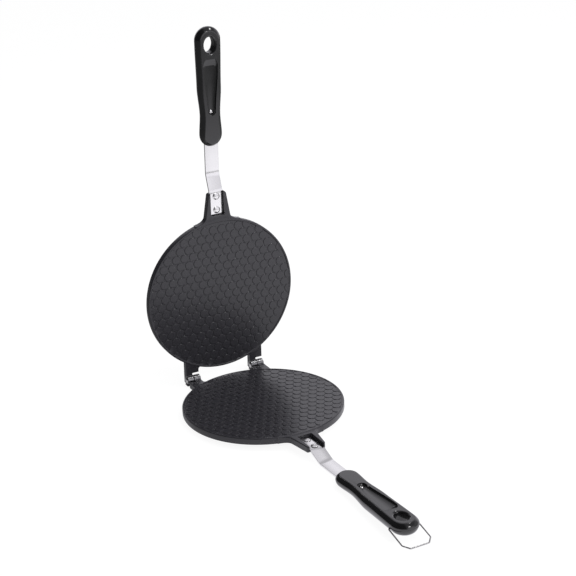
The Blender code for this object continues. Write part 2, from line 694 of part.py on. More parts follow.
def handle():
    """The moulding with its tang slot, scoop, hanging hole, screw hole and bail holes."""
    gap = SEAT_GAP
    head_seat = HANDLE_FACE_HEIGHT - SCOOP_DEPTH - gap
    screw_place = Matrix.Translation((0, -SCREW_REACH, 0))
    cut = [
        box("tang_slot", (-STRAP_WIDTH / 2 - gap, -TANG_LENGTH - gap, -STRAP_THICKNESS / 2 - gap),
            (STRAP_WIDTH / 2 + gap, 0, STRAP_THICKNESS / 2 + gap)),
        thumb_scoop(),
        hanging_hole(),
        rod("screw_bore", SCREW_RADIUS + gap, head_seat - SCREW_LENGTH, head_seat + gap,
            screw_place, 12),
        rod("screw_seat", SCREW_HEAD_RADIUS + gap, head_seat, HANDLE_FACE_HEIGHT + CUT_OVERRUN,
            screw_place, 16),
    ]
    pivot_place = Matrix.Translation((0, -BAIL_PIVOT_REACH, -BAIL_PIVOT_SINK)) @ ALONG_X
    for side in (-1, 1):
        inner = side * (HANDLE_END_HALF_WIDTH - BAIL_PIVOT_DEPTH - gap)
        outer = side * (HANDLE_END_HALF_WIDTH + CUT_OVERRUN)
        cut.append(rod("bail_hole", BAIL_WIRE_RADIUS + gap, min(inner, outer), max(inner, outer),
                       pivot_place, 12))
    body = handle_blank()
    combine(body, cut, "DIFFERENCE")
    return body


def handle_screw():
    """A pan-head screw, seated at the narrow end of the scoop and run through the strap."""
    seat = HANDLE_FACE_HEIGHT - SCOOP_DEPTH
    profile = dome(SCREW_HEAD_RADIUS, SCREW_HEAD_HEIGHT, seat, 3)
    profile += [(SCREW_RADIUS, seat), (SCREW_RADIUS, seat - SCREW_LENGTH),
                (0, seat - SCREW_LENGTH)]
    return turned("handle_screw", profile, 12, Matrix.Translation((0, -SCREW_REACH, 0)))


# The bail, in a frame on its pivot with the legs along -Y

def bail():
    """One wire from pivot to pivot: in at the handle's sides, along both legs, and across."""
    inner = HANDLE_END_HALF_WIDTH - BAIL_PIVOT_DEPTH
    corners = [
        (inner, 0, 0),
        (BAIL_HALF_WIDTH, 0, BAIL_BEND_RADIUS),
        (BAIL_HALF_WIDTH, -BAIL_SHOULDER, BAIL_BEND_RADIUS),
        (BAIL_BAR_HALF_WIDTH, -BAIL_REACH, BAIL_BEND_RADIUS),
    ]
    corners += [(-x, y, radius) for x, y, radius in reversed(corners)]
    line = rounded_path(corners, 3)
    curve = bpy.data.curves.new("bail_wire", "CURVE")
    curve.dimensions = "3D"
    curve.bevel_depth = BAIL_WIRE_RADIUS
    curve.bevel_resolution = 1
    curve.use_fill_caps = True
    spline = curve.splines.new("POLY")
    spline.points.add(len(line) - 1)
    spline.points.foreach_set("co", [value for x, y in line for value in (x, y, 0, 1)])
    source = add_object("bail_wire", curve, CUTTERS)
    mesh = evaluated_mesh(source)
    bpy.data.objects.remove(source)
    bpy.data.curves.remove(curve)
    work = bmesh.new()
    work.from_mesh(mesh)
    bmesh.ops.remove_doubles(work, verts=work.verts, dist=WELD_DISTANCE)
    bmesh.ops.recalc_face_normals(work, faces=work.faces)
    work.to_mesh(mesh)
    work.free()
    return add_object("bail_wire", mesh, CUTTERS)


# How the iron stands

def rest_tilt(handle_mesh):
    """The angle at which the foot's edge and the handle's belly both touch a level table."""
    angles = []
    for vertex in handle_mesh.vertices:
        point = HANDLE_FRAME @ vertex.co
        angles.append(math.atan2(FOOT_BOTTOM - point.z, FOOT_RADIUS - point.y))
    return max(angles)


def empty(name, parent, matrix):
    """A frame that pieces hang from."""
    item = bpy.data.objects.new(name, None)
    PARTS.objects.link(item)
    item.parent = parent
    item.matrix_local = matrix
    return item


clear_scene()
PARTS = make_collection("egg_roll_maker")
CUTTERS = make_collection("cutters")
HANDLE_FRAME = (Matrix.Translation((0, -STRAP_BEND_END, STRAP_END_MID))
                @ Matrix.Rotation(-HANDLE_RISE, 4, X_AXIS))

casting_shape = casting()
strap_shape = strap()
rivet_shape = strap_rivet()
pin_shape = hinge_pin()
handle_shape = handle()
screw_shape = handle_screw()
bail_shape = bail()

REST_TILT = rest_tilt(handle_shape.data)
STAND_TURN = Matrix.Rotation(-REST_TILT, 4, X_AXIS)
stand = empty("stand_frame", None, STAND_TURN @ Matrix.Translation((0, 0, -FOOT_BOTTOM)))
lid = empty("lid_hinge_axis", stand, Matrix.Translation((0, HINGE_REACH, 0))
            @ Matrix.Rotation(-OPEN_ANGLE, 4, X_AXIS))
lid_turn = Matrix.Translation((0, -HINGE_REACH, 0)) @ Matrix.Rotation(math.pi, 4, Y_AXIS)

NON_STICK = (0.055, 0.055, 0.060)
STEEL = (0.62, 0.61, 0.60)
PHENOLIC = (0.020, 0.020, 0.021)

for side, parent, turn in (("lower", stand, Matrix.Identity(4)), ("upper", lid, lid_turn)):
    coat = make_material(side + "_plate_coat", NON_STICK, 0.45, 0.0)
    finish(casting_shape, side + "_plate", coat, parent, turn)
    bar = make_material(side + "_strap_steel", STEEL, 0.28, 1.0)
    finish(strap_shape, side + "_strap", bar, parent, turn)
    for number, reach in enumerate(RIVET_REACHES, start=1):
        name = side + "_strap_rivet_" + str(number)
        place = turn @ Matrix.Translation((0, -reach, 0))
        finish(rivet_shape, name, make_material(name + "_steel", STEEL, 0.20, 1.0), parent, place)
    moulding = make_material(side + "_handle_moulding", PHENOLIC, 0.35, 0.0)
    finish(handle_shape, side + "_handle", moulding, parent, turn @ HANDLE_FRAME)
    name = side + "_handle_screw"
    finish(screw_shape, name, make_material(name + "_steel", STEEL, 0.25, 1.0), parent,
           turn @ HANDLE_FRAME)

for side, middle in (("left", -HINGE_SPREAD), ("right", HINGE_SPREAD)):
    name = "hinge_pin_" + side
    place = Matrix.Translation((middle, HINGE_REACH, 0))
    finish(pin_shape, name, make_material(name + "_steel", STEEL, 0.20, 1.0), stand, place)

# The sprung ends hold the bail just clear of the table
pivot_place = (HANDLE_FRAME @ Matrix.Translation((0, -BAIL_PIVOT_REACH, -BAIL_PIVOT_SINK))
               @ Matrix.Rotation(BAIL_HANG, 4, X_AXIS))
finish(bail_shape, "bail", make_material("bail_wire", STEEL, 0.22, 1.0), stand, pivot_place)

for shape in list(CUTTERS.objects):
    bpy.data.objects.remove(shape)
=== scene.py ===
"""Looks of the egg roll maker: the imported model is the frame, and finer surfaces stand in for its
pieces, each in the material of the real one. Sizes are in metres."""
import math

import bpy
import numpy as np
from mathutils import Matrix, Vector


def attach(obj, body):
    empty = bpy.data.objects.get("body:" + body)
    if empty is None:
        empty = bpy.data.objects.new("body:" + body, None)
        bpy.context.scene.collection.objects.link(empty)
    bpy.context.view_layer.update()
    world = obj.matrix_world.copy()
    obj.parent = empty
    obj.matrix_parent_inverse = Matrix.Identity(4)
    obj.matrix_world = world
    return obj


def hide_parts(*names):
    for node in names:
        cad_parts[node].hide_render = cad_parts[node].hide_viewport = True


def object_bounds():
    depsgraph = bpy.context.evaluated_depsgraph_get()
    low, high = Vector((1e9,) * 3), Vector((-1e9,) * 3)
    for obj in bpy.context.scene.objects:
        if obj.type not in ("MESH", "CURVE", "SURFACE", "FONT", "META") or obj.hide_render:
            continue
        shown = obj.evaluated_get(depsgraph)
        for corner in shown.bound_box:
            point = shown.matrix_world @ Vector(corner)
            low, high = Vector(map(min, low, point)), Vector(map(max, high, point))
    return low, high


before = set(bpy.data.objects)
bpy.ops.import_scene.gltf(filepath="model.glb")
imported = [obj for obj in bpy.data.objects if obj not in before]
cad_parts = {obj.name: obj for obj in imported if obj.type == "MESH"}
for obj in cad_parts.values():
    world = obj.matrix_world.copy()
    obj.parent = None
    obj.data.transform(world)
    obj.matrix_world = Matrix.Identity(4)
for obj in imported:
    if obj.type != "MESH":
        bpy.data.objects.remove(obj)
cad_low, cad_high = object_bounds()

# Camera: low on the handles' side and a little to the left, far off with a long lens, as the
# photograph was taken. It is placed from the lower half, which stands at LOWER: it leans back on
# its foot and on the belly of its handle.
FOOT_LEVEL = 0.0084
REST_TILT = math.radians(2.202565)
LOWER = Matrix.Rotation(-REST_TILT, 4, "X") @ Matrix.Translation((0, 0, FOOT_LEVEL))
VIEW_AZIMUTH = -0.476435
VIEW_ELEVATION = 0.371533
VIEW_ROLL = -0.0406375
VIEW_DISTANCE = 1.670677
VIEW_ACROSS = 0.0275352
VIEW_UP = 0.1261559
FOCAL_PIXELS = 1504.320
PICTURE_PIXELS = 576
SENSOR_WIDTH = 36.0
CLIP_END = 20.0

back = Vector((math.sin(VIEW_AZIMUTH) * math.cos(VIEW_ELEVATION),
               -math.cos(VIEW_AZIMUTH) * math.cos(VIEW_ELEVATION), math.sin(VIEW_ELEVATION)))
level_right = Vector((0, 0, 1)).cross(back).normalized()
level_up = back.cross(level_right)
right = level_right * math.cos(VIEW_ROLL) + level_up * math.sin(VIEW_ROLL)
up = level_up * math.cos(VIEW_ROLL) - level_right * math.sin(VIEW_ROLL)
eye = right * VIEW_ACROSS + up * VIEW_UP + back * VIEW_DISTANCE
turn = Matrix((right, up, back)).transposed().to_4x4()
camera = bpy.data.objects.new("camera", bpy.data.cameras.new("camera"))
camera.data.lens = FOCAL_PIXELS * SENSOR_WIDTH / PICTURE_PIXELS
camera.data.sensor_width = SENSOR_WIDTH
camera.data.clip_end = CLIP_END
camera.matrix_world = LOWER @ Matrix.Translation(eye) @ turn
bpy.context.scene.collection.objects.link(camera)
bpy.context.scene.camera = camera
bpy.context.scene.view_settings.view_transform = "Standard"

# Studio: a white floor and background, and soft light from overhead and from the front right. The
# room is dim on the left and overhead, which gives the glossy pieces their dark bands. In
# reflections the floor is painted: a painted pool of light near the object and far out at the front
# right, and painted shade elsewhere.
FLOOR_SIZE = 8.0
FLOOR_LEVEL = cad_low.z
FLOOR_GLOW = 1.14
FLOOR_MATT = 0.86
PAINTED_POOL_MIDDLE = (0.24, -0.38, 0)
WORLD_LEVEL = 0.42
WHITE = (1, 1, 1, 1)
COOL_WHITE = (1.0, 0.985, 1.05, 1)
# The room that gloss mirrors, as stops of (share, level): from left to right, upwards from the
# horizon, and from front to back.
RIGHT_STOPS = ((0.0, 0.02), (0.37, 0.05), (0.50, 1.0), (1.0, 1.0))
HEIGHT_STOPS = ((0.0, 1.0), (0.14, 1.0), (0.30, 0.72), (0.39, 0.96), (0.44, 1.0), (0.60, 0.45),
                (0.75, 0.50), (0.85, 0.72))
DEPTH_STOPS = ((0.0, 1.0), (0.12, 1.0), (0.25, 0.45), (0.56, 0.45), (0.62, 1.0), (1.0, 1.0))
# Each soft box: its name, place, aim, width and height, watts, and whether gloss mirrors it.
SOFT_BOXES = (("overhead_box", (0.25, -0.05, 1.5), (0, 0, 0.05), (0.6, 0.6), 3.5, False),
              ("right_box", (1.3, -0.8, 0.8), (0, 0, 0.15), (0.9, 0.9), 10.0, False),
              ("top_box", (0.68, -0.10, 1.44), (0, 0, 0.05), (0.5, 0.12), 2.4, True),
              ("front_box", (0.46, -2.11, 1.75), (0, 0, 0.15), (0.5, 0.3), 6.0, True))


class Wire:
    """A socket of a material. Arithmetic on it adds Math nodes, and node() adds any other node."""

    def __init__(self, tree, socket=None):
        self.tree = tree
        self.socket = socket

    def node(self, kind, settings=None, output=0, **sockets):
        """A node of a kind: its settings first, then values or wires for its sockets by name."""
        made = self.tree.nodes.new("ShaderNode" + kind)
        for key, value in (settings or {}).items():
            if key == "stops":
                while len(made.color_ramp.elements) < len(value):
                    made.color_ramp.elements.new(1)
                for element, (place, level) in zip(made.color_ramp.elements, value):
                    element.position = place
                    element.color = (level, level, level, 1)
            else:
                setattr(made, key, value)
        for key, value in sockets.items():
            name = key.replace("_", " ")
            place = made.inputs[int(name[1:])] if name[1:].isdigit() else made.inputs[name]
            if isinstance(value, Wire):
                self.tree.links.new(value.socket, place)
            else:
                place.default_value = value
        return Wire(self.tree, made.outputs[output] if made.outputs else None)

    def beside(self, output):
        """Another output, by name or number, of the node that this wire comes from."""
        return Wire(self.tree, self.socket.node.outputs[output])

    def math(self, operation, first, second):
        """A Math node of an operation, between values or wires."""
        return self.node("Math", {"operation": operation}, i0=first, i1=second)

    def toned(self, share, first, second):
        """A colour between two, by a share from 0 to 1, from a Mix node."""
        return self.node("Mix", {"data_type": "RGBA"}, output=2, i0=share, i6=first, i7=second)

    def mixed(self, other):
        """The product of two colours, from a Mix node."""
        return self.node("Mix", {"data_type": "RGBA", "blend_type": "MULTIPLY"}, output=2, i0=1.0,
                         i6=self, i7=other)

    def __add__(self, other):
        return self.math("ADD", self, other)

    def __sub__(self, other):
        return self.math("SUBTRACT", self, other)

    def __rsub__(self, other):
        return self.math("SUBTRACT", other, self)

    def __mul__(self, other):
        return self.math("MULTIPLY", self, other)

    __radd__ = __add__
    __rmul__ = __mul__


world = bpy.data.worlds.new("studio")
world.use_nodes = True
world.cycles.sampling_method = "NONE"
bpy.context.scene.world = world
sky = Wire(world.node_tree)
world.node_tree.nodes.clear()
seen_ray = sky.node("LightPath")
glossy_ray = seen_ray.beside("Is Glossy Ray")
through_ray = seen_ray.beside("Is Transmission Ray")
across = sky.node("SeparateXYZ", Vector=sky.node("TexCoord"))
from_right = sky.node("ValToRGB", {"stops": RIGHT_STOPS}, Fac=across * 0.5 + 0.5)
by_height = sky.node("ValToRGB", {"stops": HEIGHT_STOPS}, Fac=across.beside("Z"))
by_depth = sky.node("ValToRGB", {"stops": DEPTH_STOPS}, Fac=across.beside("Y") * 0.5 + 0.5)
room = from_right.mixed(by_height).mixed(by_depth).mixed(COOL_WHITE)
mirrored = sky.node("Background", Color=room, Strength=1.0)
soft_light = sky.node("Background", Color=(WORLD_LEVEL, WORLD_LEVEL, WORLD_LEVEL * 1.02, 1),
                      Strength=1.0)
white = sky.node("Background", Color=WHITE, Strength=1.0)
unseen = sky.node("MixShader", i0=glossy_ray, i1=soft_light, i2=mirrored)
shown = sky.node("MixShader", i0=seen_ray + through_ray, i1=unseen, i2=white)
sky.node("OutputWorld", Surface=shown)

for name, place, aim, size, watts, in_gloss in SOFT_BOXES:
    lamp = bpy.data.lights.new(name, "AREA")
    lamp.shape = "RECTANGLE"
    lamp.size, lamp.size_y = size
    lamp.energy = watts
    box = bpy.data.objects.new(name, lamp)
    box.location = place
    box.rotation_euler = (Vector(aim) - Vector(place)).to_track_quat("-Z", "Y").to_euler()
    box.visible_glossy = in_gloss
    bpy.context.scene.collection.objects.link(box)

floor_mesh = bpy.data.meshes.new("floor")
half = FLOOR_SIZE / 2
floor_mesh.from_pydata([(-half, -half, FLOOR_LEVEL), (half, -half, FLOOR_LEVEL),
                        (half, half, FLOOR_LEVEL), (-half, half, FLOOR_LEVEL)], [], [(0, 1, 2, 3)])
floor = bpy.data.objects.new("floor", floor_mesh)
bpy.context.scene.collection.objects.link(floor)
paper = bpy.data.materials.new("floor_paper")
paper.use_nodes = True
paper.cycles.emission_sampling = "NONE"
paper.node_tree.nodes.clear()
sheet = Wire(paper.node_tree)
seen_ray = sheet.node("LightPath")
glossy_ray = seen_ray.beside("Is Glossy Ray")
through_ray = seen_ray.beside("Is Transmission Ray")
white_glow = sheet.node("Emission", Color=WHITE, Strength=FLOOR_GLOW)
cool_glow = sheet.node("Emission", Color=COOL_WHITE, Strength=FLOOR_GLOW)
glow = sheet.node("MixShader", i0=glossy_ray, i1=white_glow, i2=cool_glow)
# Camera rays see the floor as an even white backdrop. In reflections its glow is painted: a painted
# pool of light round the object and far out at the front right.
spot = sheet.node("TexCoord").beside("Object")
away = sheet.node("VectorMath", {"operation": "DISTANCE"}, output=1, i0=spot, i1=PAINTED_POOL_MIDDLE)
near = sheet.node("ValToRGB", {"stops": ((0.0, 1.0), (0.24, 1.0), (0.66, 0.0))}, Fac=away)
reach = sheet.node("VectorMath", {"operation": "DOT_PRODUCT"}, output=1, i0=spot, i1=(1, -1, 0))
far = sheet.node("ValToRGB", {"stops": ((0.0, 0.0), (0.80, 0.0), (0.95, 1.0))}, Fac=reach * 0.4)
painted_pool = sheet.math("MAXIMUM", near, far)
lit = sheet.node("BsdfDiffuse", Color=(FLOOR_MATT, FLOOR_MATT, FLOOR_MATT, 1))
# Black matt floor, mixed in only for reflections outside the pool: painted shade.
painted_shade = sheet.node("BsdfDiffuse", Color=(0, 0, 0, 1))
matt = sheet.node("MixShader", i0=glossy_ray * (1 - painted_pool) * 0.7, i1=lit, i2=painted_shade)
glowing = (seen_ray + glossy_ray * painted_pool + through_ray) * 0.8
surface = sheet.node("MixShader", i0=glowing, i1=matt, i2=glow)
sheet.node("OutputMaterial", Surface=surface)
floor_mesh.materials.append(paper)

# Castings: two equal plates of cast aluminium under a dark non-stick coat. Each is one casting of
# a rimmed disc with a field of raised pads, two hinge arms and the fork that holds the strap. The
# knuckles are turned after coating, and are bare, dark metal.
COAT_TONES = ((0.0225, 0.0216, 0.0262, 1), (0.0310, 0.0300, 0.0360, 1))
BARE_METAL = (0.25, 0.25, 0.255, 1)
PLATE_RADIUS = 0.0900
RIM_TOP = -0.00015
PLATE_BOTTOM = -0.0078
FOOT_BOTTOM = -0.0084
FOOT_RADIUS = 0.0780
FOOT_SLOPE = 0.0007
EDGE_ROUND = 0.0011
RIM_INNER = 0.0880
RIM_SLOPE = 0.0008
RIM_MIDDLE = PLATE_RADIUS - 0.003
FLOOR = -0.0008
BEVEL = 0.0001
HOLDING_WIDTH = 0.0002
OVERLAP = 0.002
PAD_PITCH = 0.01035
PAD_ROWS = 11
PAD_OFFSET = (0.00185, 0.0015)
PAD_TOP = -0.0003
PAD_RADIUS = 0.0051
PAD_INSETS = (0.0, 0.0005, 0.00075, 0.00095)
PAD_FIELD = 0.0883
PAD_LEAST = 0.0008
PAD_STEPS = 24
HINGE_REACH = 0.0974
HINGE_SPREAD = 0.0408
KNUCKLE_RADIUS = 0.0046
KNUCKLE_LENGTH = 0.0075
KNUCKLE_GAP = 0.0006
ARM_HALF = KNUCKLE_LENGTH + KNUCKLE_GAP / 2
ARM_BOTTOM = -0.0072
ARM_CUTBACK = 0.0072
ARM_FLARE = 0.0030
ARM_EDGE = 0.0005
STOP_REACH = 0.0049
STOP_ROUND = 0.0012
STOP_EDGE = 0.0002
STOP_GAP = 0.0003
TAB_SIDE = 0.0037
TAB_ROOT = 0.0015
TAB_LENGTH = 0.0046
LUG_REACH = 0.1222
LUG_TIP_HALF = 0.0111
LUG_ROOT_HALF = 0.0160
LUG_FILLET = 0.0060
LUG_TIP_ROUND = 0.0030
LUG_BOTTOM = -0.0076
LUG_TIP_CHAMFER = 0.0016
LUG_FLARE = (0.012, 0.002)
TIP_CUT_HALF = 0.014
LUG_EDGE = 0.0009
LAND_TOP = -0.00035
SLOT_HALF = 0.0085
SLOT_START = 0.0950
SLOT_FLOOR = -0.0063
SLOT_ROUND = 0.001
SLOT_EDGE = 0.0003
PIN_BORE = 0.0023
BORE_REACH = 0.012
OPEN_ANGLE = math.radians(88.0)

# Both halves are drawn lying flat, baking side up, with the parting plane at height zero and the
# handle towards -Y. The upper one is then turned over and swung up against the hinge's stops.
UPPER = (LOWER @ Matrix.Translation((0, HINGE_REACH, 0)) @ Matrix.Rotation(-OPEN_ANGLE, 4, "X")
         @ Matrix.Translation((0, -HINGE_REACH, 0)) @ Matrix.Rotation(math.pi, 4, "Y"))
HALVES = (("lower", LOWER), ("upper", UPPER))
# Turns for shapes that are made standing up: a slab's thickness or a turned axis along X.
SIDEWAYS = Matrix(((0, 0, 1, 0), (1, 0, 0, 0), (0, 1, 0, 0), (0, 0, 0, 1)))
ALONG_X = Matrix.Rotation(math.pi / 2, 4, "Y")


def solid(name, points, faces):
    """A working object from an array of points and a list of faces."""
    mesh = bpy.data.meshes.new(name)
    mesh.from_pydata(np.asarray(points, float).reshape(-1, 3).tolist(), [], faces)
    item = bpy.data.objects.new(name, mesh)
    bpy.context.scene.collection.objects.link(item)
    return item


def ring_faces(rings, count):
    """Quads between rings of count points each, and one face over each end."""
    near = np.arange(rings - 1)[:, None] * count + np.arange(count)
    far = np.arange(rings - 1)[:, None] * count + (np.arange(count) + 1) % count
    quads = np.stack([near, far, far + count, near + count], axis=-1).reshape(-1, 4).tolist()
    last = (rings - 1) * count
    return quads + [list(range(count))[::-1], list(range(last, last + count))]


def turned(name, profile, steps, matrix=None):
    """A profile of (radius, height) from bottom to top, carried round Z in equal steps: x is
    radius * cos a and y is radius * sin a."""
    angle = np.arange(steps) * 2 * math.pi / steps
    radius, height = np.array(profile).T
    points = np.stack([radius[:, None] * np.cos(angle), radius[:, None] * np.sin(angle),
                       np.repeat(height[:, None], steps, axis=1)], axis=-1)
    item = solid(name, points, ring_faces(len(profile), steps))
    if matrix:
        item.data.transform(matrix)
    return item


def rounded(across, up, size, turn_from, turn_to, steps=7):
    """Points of an arc about a centre, between two angles in degrees: across + size * cos a and
    up + size * sin a."""
    angle = np.radians(np.linspace(turn_from, turn_to, steps))
    return list(zip(across + size * np.cos(angle), up + size * np.sin(angle)))


def slab(name, outline, low, high, edge, matrix=None):
    """A flat outline, counterclockwise, given thickness. Its edges are rounded by rings that step
    in along the outline's normals: step = edge * (1 - cos a), height = edge * (1 - sin a). One
    more ring on each flat side and at each end of the wall keeps their shading flat."""
    line = np.array(outline, float)
    before = line - np.roll(line, 1, axis=0)
    after = np.roll(line, -1, axis=0) - line
    before /= np.linalg.norm(before, axis=1)[:, None]
    after /= np.linalg.norm(after, axis=1)[:, None]
    inward = np.stack([-(before + after)[:, 1], (before + after)[:, 0]], axis=1)
    across = np.stack([-after[:, 1], after[:, 0]], axis=1)
    inward /= np.sum(inward * across, axis=1)[:, None]
    angle = np.linspace(math.pi / 2, 0, 4)
    step = edge * (1 - np.cos(angle))
    rise = edge * (1 - np.sin(angle))
    hold = edge + HOLDING_WIDTH
    step = np.concatenate([[hold], step, [0, 0], step[::-1], [hold]])[:, None, None]
    level = np.concatenate([[low], low + rise, [low + hold, high - hold], high - rise[::-1],
                            [high]])[:, None, None]
    flat = line[None] + inward[None] * step
    points = np.concatenate([flat, np.broadcast_to(level, (*flat.shape[:2], 1))], axis=2)
    item = solid(name, points, ring_faces(len(level), len(line)))
    if matrix:
        item.data.transform(matrix)
    return item


def fused(base, tools, operation):
    """The base joined with, cut by or limited to the tools, which are used up."""
    for tool in tools:
        change = base.modifiers.new("work", "BOOLEAN")
        change.operation = operation
        change.solver = "MANIFOLD"
        change.object = tool
    depsgraph = bpy.context.evaluated_depsgraph_get()
    mesh = bpy.data.meshes.new_from_object(base.evaluated_get(depsgraph))
    base.modifiers.clear()
    base.data = mesh
    for tool in tools:
        bpy.data.objects.remove(tool)
    return base


def add_piece(name, shape, place, body, material, nodes, crease=40.0):
    """A finished piece from a working shape: its own coordinates are kept as an attribute, then it
    is put in place, shaded, and stands for its nodes of the frame."""
    mesh = shape.data.copy()
    mesh.name = name
    count = len(mesh.vertices)
    own = np.empty(count * 3, np.float32)
    mesh.vertices.foreach_get("co", own)
    mesh.attributes.new("own", "FLOAT_VECTOR", "POINT").data.foreach_set("vector", own)
    mesh.transform(place)
    mesh.shade_smooth()
    mesh.set_sharp_from_angle(angle=math.radians(crease))
    mesh.materials.clear()
    mesh.materials.append(material)
    item = bpy.data.objects.new(name, mesh)
    bpy.context.scene.collection.objects.link(item)
    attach(item, body)
    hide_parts(*nodes)
    return item


def finish_of(name):
    """A new material, with the wire that adds its nodes and its pieces' own coordinates."""
    material = bpy.data.materials.new(name)
    material.use_nodes = True
    material.node_tree.nodes.clear()
    wire = Wire(material.node_tree)
    return material, wire, wire.node("Attribute", {"attribute_name": "own"}, output=1)


def disc():
    """The plate's disc: foot, back, round edge, flat rim and sunk floor, as one turned profile."""
    middle = PLATE_RADIUS - EDGE_ROUND
    profile = [(FOOT_RADIUS, FOOT_BOTTOM), (FOOT_RADIUS + BEVEL, FOOT_BOTTOM + BEVEL),
               (FOOT_RADIUS + FOOT_SLOPE, PLATE_BOTTOM), (middle - 3 * BEVEL, PLATE_BOTTOM)]
    profile += rounded(middle, PLATE_BOTTOM + EDGE_ROUND, EDGE_ROUND, -90, 0, 6)
    profile += rounded(middle, RIM_TOP - EDGE_ROUND, EDGE_ROUND, 0, 90, 6)
    profile += [(RIM_INNER + 2 * BEVEL, RIM_TOP), (RIM_INNER - BEVEL, RIM_TOP - BEVEL),
                (RIM_INNER - RIM_SLOPE + BEVEL, FLOOR + BEVEL), (RIM_INNER - RIM_SLOPE, FLOOR)]
    return turned("disc", profile, 256)


def pads():
    """The raised pads: round ones in rows that lie pitch * sqrt(3) / 2 apart, every other row half
    a pitch further on, each drawn in by its insets from the floor up, and cut off by the rim."""
    row_pitch = PAD_PITCH * math.sqrt(3) / 2
    rows, columns = np.meshgrid(np.arange(-PAD_ROWS, PAD_ROWS + 1),
                                np.arange(1 - PAD_ROWS, PAD_ROWS), indexing="ij")
    x = PAD_OFFSET[0] + (columns + 0.5 * (rows % 2)) * PAD_PITCH
    y = PAD_OFFSET[1] + rows * row_pitch
    centre = np.stack([x.ravel(), y.ravel()], axis=1)
    centre = centre[np.hypot(*centre.T) < PAD_FIELD - PAD_LEAST]
    angle = np.arange(PAD_STEPS) * 2 * math.pi / PAD_STEPS
    level = np.array([FLOOR - 2 * BEVEL, PAD_TOP - BEVEL / 2, PAD_TOP, PAD_TOP])
    radius = PAD_RADIUS - np.array(PAD_INSETS)[:, None]
    ring = np.stack([radius * np.cos(angle), radius * np.sin(angle),
                     np.repeat(level[:, None], PAD_STEPS, axis=1)], axis=-1)
    points = np.broadcast_to(ring, (len(centre), *ring.shape)).copy()
    points[..., :2] += centre[:, None, None]
    faces = []
    for number in range(len(centre)):
        start = number * ring.shape[0] * PAD_STEPS
        faces += [[start + i for i in face] for face in ring_faces(ring.shape[0], PAD_STEPS)]
    ends = [(PAD_FIELD, FLOOR - OVERLAP / 2), (PAD_FIELD, PAD_TOP + OVERLAP / 2)]
    field = turned("field", ends, 180)
    return fused(solid("pads", points, faces), [field], "INTERSECT")


def rim_arc(x_from, x_to, side, steps=12):
    """Points along the middle of the rim between two distances from the centre line: y is
    side * sqrt(middle^2 - x^2)."""
    x = np.linspace(x_from, x_to, steps)
    return list(zip(x, side * np.sqrt(RIM_MIDDLE ** 2 - x ** 2)))


def hinge_arm(middle):
    """An arm in plan up to its cut-back. Where it leaves the disc it widens by flare * t^2 over a
    drop of flare * t * (2 - t)."""
    low, high = middle - ARM_HALF, middle + ARM_HALF
    tip = HINGE_REACH - ARM_CUTBACK
    edge = PLATE_RADIUS - ARM_EDGE
    turn = np.linspace(0, 1, 6)
    outline = [(high, tip), (low, tip)]
    for x, outward in ((low, -1), (high, 1)):
        top = math.sqrt(edge ** 2 - (x + outward * ARM_FLARE) ** 2) + ARM_FLARE
        blend = [(x + outward * ARM_FLARE * t * t, top - ARM_FLARE * t * (2 - t))
                 for t in turn if top - ARM_FLARE * t * (2 - t) < tip]
        if outward < 0:
            outline += blend + rim_arc(low - ARM_FLARE, high + ARM_FLARE, 1)
        else:
            outline += blend[::-1]
    return slab("arm", outline, ARM_BOTTOM, LAND_TOP, ARM_EDGE)


def knuckle(middle):
    """The half of an arm that goes round the pin, with the square toe that stops the lid."""
    back_end = -ARM_CUTBACK - OVERLAP
    outline = [(back_end, ARM_BOTTOM)]
    outline += rounded(STOP_REACH - STOP_ROUND, ARM_BOTTOM + STOP_ROUND, STOP_ROUND, -90, 0)
    outline += [(STOP_REACH, LAND_TOP), (KNUCKLE_RADIUS, LAND_TOP)]
    outline += rounded(0, 0, KNUCKLE_RADIUS, 0, 180, 33)[1:]
    outline += [(-KNUCKLE_RADIUS, LAND_TOP), (back_end, LAND_TOP)]
    outline = [(y + HINGE_REACH, z) for y, z in outline]
    low = middle + KNUCKLE_GAP / 2
    return slab("knuckle", outline, low, low + KNUCKLE_LENGTH, STOP_EDGE, SIDEWAYS)


def stop_tab(middle):
    """The tab beside a knuckle on which the other casting's toe comes to rest."""
    low, high = middle - ARM_HALF, middle + TAB_SIDE
    near, far = HINGE_REACH - TAB_ROOT, HINGE_REACH + TAB_LENGTH
    outline = [(low, near), (high, near), (high, far), (low, far)]
    return slab("tab", outline, ARM_BOTTOM, -STOP_REACH - STOP_GAP, STOP_EDGE)


def lug():
    """The fork in plan: round tips, straight tapered sides and a wide fillet into the rim, which
    is (1 - t)^2 * start + 2 * t * (1 - t) * knee + t^2 * end."""
    root_y = -math.sqrt(PLATE_RADIUS ** 2 - LUG_ROOT_HALF ** 2)
    half_tip = LUG_TIP_HALF - LUG_TIP_ROUND
    taper = (LUG_ROOT_HALF - LUG_TIP_HALF) / (LUG_REACH + root_y)
    tip = rounded(half_tip, -LUG_REACH + LUG_TIP_ROUND, LUG_TIP_ROUND, -90, 0)
    start = np.array((LUG_ROOT_HALF - taper * LUG_FILLET, root_y - LUG_FILLET))
    knee = np.array((LUG_ROOT_HALF, root_y))
    end = knee + LUG_FLARE
    t = np.linspace(0, 1, 10)[:, None]
    sweep = (1 - t) ** 2 * start + 2 * t * (1 - t) * knee + t * t * end
    right_side = tip + sweep.tolist()
    inside = rim_arc(end[0], -end[0], -1, 20)[1:-1]
    left_side = [(-x, y) for x, y in right_side[::-1]]
    return slab("lug", right_side + inside + left_side, LUG_BOTTOM, LAND_TOP, LUG_EDGE)


